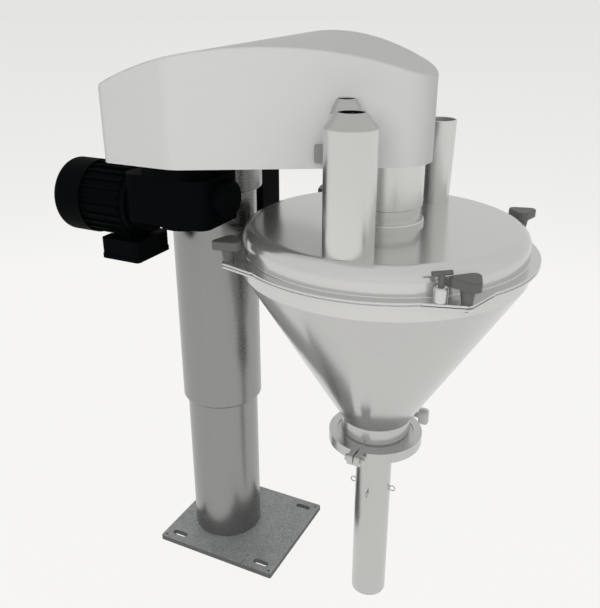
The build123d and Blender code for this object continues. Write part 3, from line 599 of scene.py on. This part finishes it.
class FILLER_OT_head_cover(bpy.types.Operator):
    """Arched, tapered sheet cover of the head"""

    bl_idname = "filler.head_cover"
    bl_label = "Head cover"

    def half_plan(self, size, reach):
        """The plan's +Y half, from the round end to the middle of the rear face."""
        run = reach - size.kink
        distance = math.hypot(run, size.half_width)
        taper = math.atan2(size.half_width, run) - math.asin(size.end_radius / distance)
        swing = math.pi / 2 - taper
        end_steps = 18
        bend_steps = 8
        corners = []
        for step in range(end_steps + 1):
            corners.append(on_circle((reach, 0), size.end_radius, swing * step / end_steps))
        kink = Vector((size.kink, size.half_width))
        rear = Vector((size.rear, size.half_width))
        tail = Vector((size.rear, 0))
        corners += arc_between(corners[-1], kink, rear, size.kink_round, bend_steps)
        corners += arc_between(kink, rear, tail, size.corner, bend_steps)
        corners.append(tail)
        points = [corners[0]]
        for follow in corners[1:]:
            start = points[-1]
            parts = max(1, round((follow - start).length / size.step))
            points += [start.lerp(follow, part / parts) for part in range(1, parts + 1)]
        return points

    def arch(self, size):
        """Height of the arched and tilted top, from the circle through its three points."""
        ax, az = size.rear, size.arch_rear - size.bottom
        bx, bz = size.arch_crown, size.arch_middle - size.bottom
        cx, cz = size.arch_end, size.arch_front - size.bottom
        cross = 2 * (ax * (bz - cz) + bx * (cz - az) + cx * (az - bz))
        squares = [(x * x + z * z) for x, z in ((ax, az), (bx, bz), (cx, cz))]
        middle_x = (squares[0] * (bz - cz) + squares[1] * (cz - az) + squares[2] * (az - bz)) / cross
        middle_z = (squares[0] * (cx - bx) + squares[1] * (ax - cx) + squares[2] * (bx - ax)) / cross
        radius = math.hypot(bx - middle_x, bz - middle_z)

        def height(place):
            rise = middle_z + math.sqrt(max(0.0, radius ** 2 - (place.x - middle_x) ** 2))
            return size.bottom + rise / math.cos(size.tilt) + place.y * math.tan(size.tilt)

        return height

    def execute(self, context):
        size = context.scene.filler_head
        reach = context.scene.filler_hopper.reach
        half = self.half_plan(size, reach)
        plan = half + [Vector((point.x, -point.y)) for point in reversed(half[1:-1])]
        height = self.arch(size)
        count = len(plan)
        inward = []
        for index in range(count):
            along = plan[(index + 1) % count] - plan[index - 1]
            inward.append(Vector((-along.y, along.x)).normalized())
        # Each ring's inset, its height or None for the arched top, and its drop below that top
        levels = [(size.wall, None, size.wall), (size.wall, size.bottom, 0), (0, size.bottom, 0)]
        edge_steps = 5
        for step in range(edge_steps + 1):
            turn = step / edge_steps * math.pi / 2
            levels.append((size.edge * (1 - math.cos(turn)), None, size.edge * (1 - math.sin(turn))))
        mesh = bmesh.new()
        rings = []
        for inset, level, drop in levels:
            ring = []
            for point, normal in zip(plan, inward):
                place = point + normal * inset
                up = level if level is not None else height(place) - drop
                ring.append(mesh.verts.new((place.x, place.y, up)))
            rings.append(ring)
        for lower, upper in zip(rings, rings[1:]):
            for index in range(count):
                follow = (index + 1) % count
                mesh.faces.new((lower[index], lower[follow], upper[follow], upper[index]))
        for ring in (rings[0], rings[-1]):
            for index in range(len(half) - 1):
                near = [ring[index], ring[index + 1]]
                far = [ring[count - index - 1], ring[(count - index) % count]]
                mesh.faces.new(list(dict.fromkeys(near + far)))
        tint = context.scene.filler_finish.cover_paint
        paint = painted("satin_cover_paint", tint, roughness=0.42, spread=0.02, grain=700.0,
                        bump=0.04, gloss=0.35)
        finish_piece("head_cover_look", mesh, paint, "head", ["head_cover"])
        return {"FINISHED"}


class FILLER_OT_neck(bpy.types.Operator):
    """Neck, seal housing and the collar on the lid"""

    bl_idname = "filler.neck"
    bl_label = "Neck"

    def execute(self, context):
        size = context.scene.filler_hopper
        bottom = context.scene.filler_head.bottom
        centre = (size.reach, 0)
        tint = context.scene.filler_finish.tube_steel
        satin = turned_steel("satin_neck_steel", tint, centre, roughness=0.30, lines=800.0)
        ring_low = size.neck_bottom + size.neck_ring_rise
        ring_high = ring_low + size.neck_ring_height
        proud = size.neck_radius + size.neck_ring
        floor = size.neck_bottom + size.neck_floor
        neck = [
            (size.housing_bore, size.neck_bottom), (size.neck_radius, size.neck_bottom, 2 * size.edge),
            (size.neck_radius, ring_low), (proud, ring_low),
            (proud, ring_high), (size.neck_radius, ring_high),
            (size.neck_radius, bottom), (size.neck_bore, bottom),
            (size.neck_bore, floor), (size.housing_bore, floor),
        ]
        turned_piece("neck_housing", neck, centre, satin, "head", size.segments)
        low = size.lid_top - size.sheet
        housing = [(size.housing_bore, low), (size.housing_radius, low),
                   (size.housing_radius, size.neck_bottom), (size.housing_bore, size.neck_bottom)]
        turned_piece("seal_housing", housing, centre, satin, "head", size.segments)
        high = size.lid_top + size.collar_height
        collar = [(size.housing_radius, size.lid_top), (size.collar_radius, size.lid_top),
                  (size.collar_radius, high, 2 * size.edge), (size.housing_radius, high)]
        turned_piece("lid_collar", collar, centre, satin, "head", size.segments)
        return {"FINISHED"}


class FILLER_OT_hopper(bpy.types.Operator):
    """Hopper and lid with their tabs"""

    bl_idname = "filler.hopper"
    bl_label = "Hopper and lid"

    def tabs(self, mesh, size, low, high):
        """Four tabs for the hand knobs, each a wide root that runs out to a round end."""
        root_out = size.rim_radius - size.lug_depth / 2
        root_in = root_out - size.lug_depth
        run = math.hypot(size.lug_reach - root_out, size.lug_root)
        swing = math.asin(size.lug_radius / run) + math.atan2(size.lug_reach - root_out, size.lug_root)
        shape = [Vector((root_in, -size.lug_root)), Vector((root_out, -size.lug_root))]
        steps = 10
        for step in range(steps + 1):
            turn = swing * (2 * step / steps - 1)
            shape.append(on_circle((size.lug_reach, 0), size.lug_radius, turn))
        shape += [Vector((root_out, size.lug_root)), Vector((root_in, size.lug_root))]
        for degrees in (-45, 45, 135, 225):
            turn = math.radians(degrees)
            along = Vector((math.cos(turn), math.sin(turn)))
            aside = Vector((-along.y, along.x))
            plan = [Vector((size.reach, 0)) + along * point.x + aside * point.y for point in shape]
            raise_plan(mesh, plan, low, high, size.edge, size.edge)

    def pad(self, mesh, size):
        """The raised pad under the tee screw."""
        middle = on_circle((size.reach, 0), size.pad_reach, size.pad_angle)
        low = size.lid_base + size.flange
        plan = circle_plan(middle, size.pad_radius, steps=40)
        raise_plan(mesh, plan, low, low + size.pad_thickness, size.edge, size.pad_edge, steps=6)

    def execute(self, context):
        size = context.scene.filler_hopper
        tubes = context.scene.filler_tubes
        centre = (size.reach, 0)
        tint = context.scene.filler_finish.hopper_steel
        # The band, rim and lid above the shoulder are painted a fifth lighter than the cone: painted
        # highlight on the same steel.
        painted_highlight_band = (size.shoulder, 1.2)
        polish = turned_steel("polished_hopper_steel", tint, centre, roughness=0.18, lines=2400.0,
                              metal=0.72, upper=painted_highlight_band)
        rim_low = size.rim_top - size.flange
        seat = size.lid_base + size.flange
        sheet = size.sheet
        ferrule_high = size.ferrule_face + size.ferrule_thickness
        hopper = [
            (size.spout_radius - sheet, size.ferrule_face),
            (size.ferrule_radius, size.ferrule_face, size.edge),
            (size.ferrule_radius, ferrule_high, size.edge), (size.spout_radius, ferrule_high),
            (size.spout_radius, size.cone_bottom, size.spout_round),
            (size.radius, size.shoulder, size.shoulder_round),
            (size.radius, rim_low, size.flange_root), (size.rim_radius, rim_low, size.edge),
            (size.rim_radius, size.rim_top, size.edge), (size.radius - sheet, size.rim_top, size.edge),
            (size.radius - sheet, size.shoulder, size.shoulder_round - sheet),
            (size.spout_radius - sheet, size.cone_bottom),
        ]
        mesh = bmesh.new()
        turn_outline(mesh, hopper, centre, size.segments)
        self.tabs(mesh, size, rim_low, size.rim_top)
        finish_piece("hopper_look", mesh, polish, "head", ["hopper"])
        lid = [
            (size.housing_radius, size.lid_top), (size.lid_radius, size.lid_top, size.lid_shoulder),
            (size.lid_radius, seat, size.flange_root), (size.rim_radius, seat, size.edge),
            (size.rim_radius, size.lid_base, size.edge), (size.lid_radius - sheet, size.lid_base),
            (size.lid_radius - sheet, size.lid_top - sheet, size.lid_shoulder - sheet),
            (size.housing_radius, size.lid_top - sheet),
        ]
        mesh = bmesh.new()
        turn_outline(mesh, lid, centre, size.segments)
        self.tabs(mesh, size, size.lid_base, seat)
        self.pad(mesh, size)
        piece = finish_piece("lid_look", mesh, polish, "head", ["lid"])
        holes = [
            (tubes.front_vent, tubes.front_radius - tubes.wall),
            (tubes.rear_vent, tubes.rear_radius - tubes.wall),
            (tubes.inlet, tubes.inlet_foot - tubes.wall),
        ]
        self.open_holes(piece, holes, size)
        return {"FINISHED"}

    def open_holes(self, piece, holes, size):
        """Cut the lid's openings under its tubes."""
        mesh = bmesh.new()
        low = size.lid_base + size.sheet
        high = size.lid_top + size.sheet
        edge = 0.0001
        for place, radius in holes:
            raise_plan(mesh, circle_plan(place, radius, steps=64), low, high, edge, edge)
        bmesh.ops.recalc_face_normals(mesh, faces=mesh.faces)
        data = bpy.data.meshes.new("lid_openings")
        mesh.to_mesh(data)
        mesh.free()
        cutter = bpy.data.objects.new("lid_openings", data)
        bpy.context.scene.collection.objects.link(cutter)
        piece.modifiers.clear()
        cut = piece.modifiers.new("openings", "BOOLEAN")
        cut.operation = "DIFFERENCE"
        cut.solver = "EXACT"
        cut.use_self = True
        cut.object = cutter
        bpy.context.view_layer.update()
        graph = bpy.context.evaluated_depsgraph_get()
        opened = bpy.data.meshes.new_from_object(piece.evaluated_get(graph))
        piece.modifiers.clear()
        piece.data = opened
        bpy.data.objects.remove(cutter)
        even_out(piece)


class FILLER_OT_lid_tubes(bpy.types.Operator):
    """Vents and inlet on the lid"""

    bl_idname = "filler.lid_tubes"
    bl_label = "Tubes on the lid"

    def execute(self, context):
        size = context.scene.filler_tubes
        hopper = context.scene.filler_hopper
        tint = context.scene.filler_finish.tube_steel
        foot = hopper.lid_top
        wall = size.wall
        edge = hopper.edge
        # Each vent's conical end is painted darker than its body: painted shade on the same steel.
        painted_shade_cone = 0.72
        satin_look = {"roughness": 0.32, "lines": 800.0}
        vents = (
            ("front_vent_tube", size.front_vent, size.front_radius, size.front_mouth, size.front_height),
            ("rear_vent_tube", size.rear_vent, size.rear_radius, size.rear_mouth, size.rear_height),
        )
        for node, place, radius, mouth, rise in vents:
            shoulder = foot + rise
            satin = turned_steel("satin_" + node, tint, place, upper=(shoulder, painted_shade_cone), **satin_look)
            top = shoulder + size.cone
            outline = [
                (radius - wall, foot), (radius, foot), (radius, shoulder, 2 * edge), (mouth, top, edge),
                (mouth - wall, top, edge), (radius - wall, shoulder),
            ]
            turned_piece(node, outline, place, satin, "head", hopper.segments)
        satin = turned_steel("satin_inlet_tube", tint, size.inlet, **satin_look)
        top = foot + size.inlet_height
        outline = [
            (size.inlet_foot - wall, foot), (size.inlet_foot, foot), (size.inlet_mouth, top, edge),
            (size.inlet_mouth - wall, top, edge),
        ]
        turned_piece("inlet_tube", outline, size.inlet, satin, "head", hopper.segments)
        dark = context.scene.filler_finish.column_steel
        dress(turned_steel("dark_clip_steel", dark, size.rear_vent, **satin_look), "vent_clip")
        return {"FINISHED"}


class FILLER_OT_hand_knobs(bpy.types.Operator):
    """Hand knobs and the tee screw"""

    bl_idname = "filler.hand_knobs"
    bl_label = "Hand knobs"

    def execute(self, context):
        tint = context.scene.filler_finish.knob_grey
        plastic = moulded("moulded_knob_grey", tint, roughness=0.46, grain=1400.0)
        dress(plastic, "lid_knob_front_right", "lid_knob_back_right", "lid_knob_back_left",
              "lid_knob_front_left", "tee_screw")
        return {"FINISHED"}


class FILLER_OT_filler_tube(bpy.types.Operator):
    """Filler tube and its clamp"""

    bl_idname = "filler.filler_tube"
    bl_label = "Filler tube"

    def execute(self, context):
        size = context.scene.filler_tubes
        hopper = context.scene.filler_hopper
        centre = (hopper.reach, 0)
        tint = context.scene.filler_finish.filler_steel
        satin = turned_steel("satin_filler_tube", tint, centre, roughness=0.26, lines=800.0)
        bore = size.filler_radius - size.filler_wall
        low = size.filler_face - hopper.ferrule_thickness
        outline = [
            (bore, size.filler_end, size.filler_edge),
            (size.filler_radius, size.filler_end, size.filler_edge),
            (size.filler_radius, low, size.filler_root), (hopper.ferrule_radius, low, hopper.edge),
            (hopper.ferrule_radius, size.filler_face), (bore, size.filler_face),
        ]
        turned_piece("filler_tube", outline, centre, satin, "head", hopper.segments)
        dress(satin, "tube_eyelets", "clamp_half_left", "clamp_half_right", "clamp_bolt",
              "clamp_wing_screw")
        return {"FINISHED"}


class FILLER_OT_motors(bpy.types.Operator):
    """Gearmotor and servo motor"""

    bl_idname = "filler.motors"
    bl_label = "Motors"

    def execute(self, context):
        tint = context.scene.filler_finish.motor_black
        black = painted("matt_motor_black", tint, roughness=0.60, spread=0.25, grain=900.0,
                        bump=0.10, gloss=0.02)
        dress(black, "motor_body", "motor_fan_cover", "motor_end_bell", "motor_flange", "gearbox",
              "gearbox_cap", "terminal_box", "terminal_lid", "servo_motor", "servo_cap")
        return {"FINISHED"}


class FILLER_OT_inner_parts(bpy.types.Operator):
    """Screw, agitator, belts, bearings and seals"""

    bl_idname = "filler.inner_parts"
    bl_label = "Inner parts"

    def execute(self, context):
        tints = context.scene.filler_finish
        centre = (context.scene.filler_hopper.reach, 0)
        screw = turned_steel("ground_screw_steel", tints.tube_steel, centre, roughness=0.24, lines=900.0)
        dress(screw, "auger", "agitator_shaft", "agitator_frame")
        plain = machined("machined_aluminium", tints.aluminium, roughness=0.36)
        dress(plain, "head_plate", "auger_pulley", "agitator_pulley", "servo_pulley", "gearbox_pulley")
        ground = machined("ground_bearing_steel", tints.bearing_steel, roughness=0.22)
        dress(ground, "neck_bearings", "bearing_spacer", "servo_shaft", "gearbox_shaft",
              "gearbox_screws", "servo_screws", "neck_screws", "sleeve_set_screws")
        bronze = machined("turned_bronze", tints.bronze, roughness=0.30)
        dress(bronze, "auger_bushes", "thrust_washer")
        rubber = moulded("black_belt_rubber", tints.rubber, roughness=0.62, grain=900.0)
        dress(rubber, "auger_belt", "agitator_belt", "shaft_seal")
        silicone = moulded("pale_silicone", tints.silicone, roughness=0.50, grain=1100.0)
        dress(silicone, "lid_gasket", "tube_gasket")
        return {"FINISHED"}


class FILLER_OT_stage(bpy.types.Operator):
    """Floor, light and camera"""

    bl_idname = "filler.stage"
    bl_label = "Stage"

    # Each lamp's name, place, width in metres and power in watts
    lamps = (
        ("key_light", (1.2, -3.0, 1.7), 1.8, 38.0),
        ("fill_light", (2.8, -1.6, 1.4), 2.0, 6.0),
        ("top_light", (-1.2, -0.6, 3.2), 2.2, 1.0),
    )
    lamp_target = Vector((0.2, 0.0, 0.6))
    lamp_height_share = 0.7

    def lamp(self, name, place, width, power):
        light = bpy.data.lights.new(name, "AREA")
        light.shape = "RECTANGLE"
        light.size = width
        light.size_y = width * self.lamp_height_share
        light.energy = power
        lamp = bpy.data.objects.new(name, light)
        lamp.location = place
        lamp.visible_glossy = False
        lamp.rotation_euler = (self.lamp_target - Vector(place)).to_track_quat("-Z", "Y").to_euler()
        bpy.context.scene.collection.objects.link(lamp)

    def seen(self, start):
        """One for the rays that show the backdrop, nought for those that light the filler."""
        light = start.node("ShaderNodeLightPath").socket.node.outputs
        kinds = ("Is Camera Ray", "Is Glossy Ray", "Is Transmission Ray")
        camera, glossy, clear = [Wire(start.tree, light[kind]) for kind in kinds]
        return camera + glossy + clear

    def floor(self, size):
        """Pale floor that darkens a little with the distance from the column."""
        low = cad_box[0][2]
        finish, start = new_finish("pale_floor")
        across, along = start.split(start.place())[:2]
        distance = (across ** 2.0 + along ** 2.0) ** 0.5
        close = (distance ** -1.0 * size.near).limits(0.0, 1.0)
        tone = start.blend(close, shade(size.backdrop_far, 1), shade(size.backdrop, 1))
        glow_share = 1 - close * (1 - size.floor_glow)
        lit = start.node("ShaderNodeBsdfDiffuse", None, {"Color": tone})
        glow = start.node("ShaderNodeEmission", None, {"Color": tone})
        factor = self.seen(start) * glow_share
        mixed = start.node("ShaderNodeMixShader", None, {0: factor, 1: lit, 2: glow})
        start.node("ShaderNodeOutputMaterial", None, {"Surface": mixed})
        mesh = bmesh.new()
        half = size.floor_half
        corners = ((-half, -half), (half, -half), (half, half), (-half, half))
        mesh.faces.new([mesh.verts.new((x, y, low)) for x, y in corners])
        data = bpy.data.meshes.new("floor")
        mesh.to_mesh(data)
        mesh.free()
        data.materials.append(finish)
        floor = bpy.data.objects.new("floor", data)
        bpy.context.scene.collection.objects.link(floor)

    def sky(self, size):
        """Soft light from all round, behind a backdrop that goes on from the far floor."""
        world = bpy.data.worlds.new("studio")
        world.use_nodes = True
        world.node_tree.nodes.clear()
        start = Wire(world.node_tree)
        seen = self.seen(start)
        soft = shade([size.soft_light] * 3, 1)
        tone = start.blend(seen, soft, shade(size.backdrop_far, 1))
        glow = start.node("ShaderNodeBackground", None, {"Color": tone, "Strength": 1.0})
        start.node("ShaderNodeOutputWorld", None, {"Surface": glow})
        bpy.context.scene.world = world

    def execute(self, context):
        size = context.scene.filler_stage
        self.floor(size)
        self.sky(size)
        for name, place, width, power in self.lamps:
            self.lamp(name, place, width, power)
        camera = bpy.data.cameras.new("photo_camera")
        camera.sensor_fit = "HORIZONTAL"
        camera.sensor_width = size.sensor
        camera.lens = size.lens
        eye = bpy.data.objects.new("photo_camera", camera)
        eye.location = size.camera_place
        eye.rotation_euler = size.camera_turn
        context.scene.collection.objects.link(eye)
        context.scene.camera = eye
        context.scene.view_settings.view_transform = "Standard"
        return {"FINISHED"}


class FILLER_PT_pieces(bpy.types.Panel):
    """Lists the pieces of the filler"""

    bl_idname = "FILLER_PT_pieces"
    bl_label = "Powder filler"
    bl_space_type = "VIEW_3D"
    bl_region_type = "UI"
    bl_category = "Filler"

    def draw(self, context):
        for operator in operators:
            self.layout.operator(operator.bl_idname)


groups = {
    "filler_column": FILLER_PG_column,
    "filler_head": FILLER_PG_head,
    "filler_hopper": FILLER_PG_hopper,
    "filler_tubes": FILLER_PG_tubes,
    "filler_finish": FILLER_PG_finish,
    "filler_stage": FILLER_PG_stage,
}
operators = (
    FILLER_OT_column,
    FILLER_OT_head_cover,
    FILLER_OT_neck,
    FILLER_OT_hopper,
    FILLER_OT_lid_tubes,
    FILLER_OT_hand_knobs,
    FILLER_OT_filler_tube,
    FILLER_OT_motors,
    FILLER_OT_inner_parts,
    FILLER_OT_stage,
)


def register():
    for kind in (*groups.values(), *operators, FILLER_PT_pieces):
        bpy.utils.register_class(kind)
    for name, kind in groups.items():
        setattr(bpy.types.Scene, name, PointerProperty(type=kind))


def unregister():
    for name in groups:
        delattr(bpy.types.Scene, name)
    for kind in (FILLER_PT_pieces, *reversed(operators), *groups.values()):
        bpy.utils.unregister_class(kind)


def main():
    register()
    for operator in operators:
        group, name = operator.bl_idname.split(".")
        getattr(getattr(bpy.ops, group), name)()


if __name__ == "__main__":
    main()
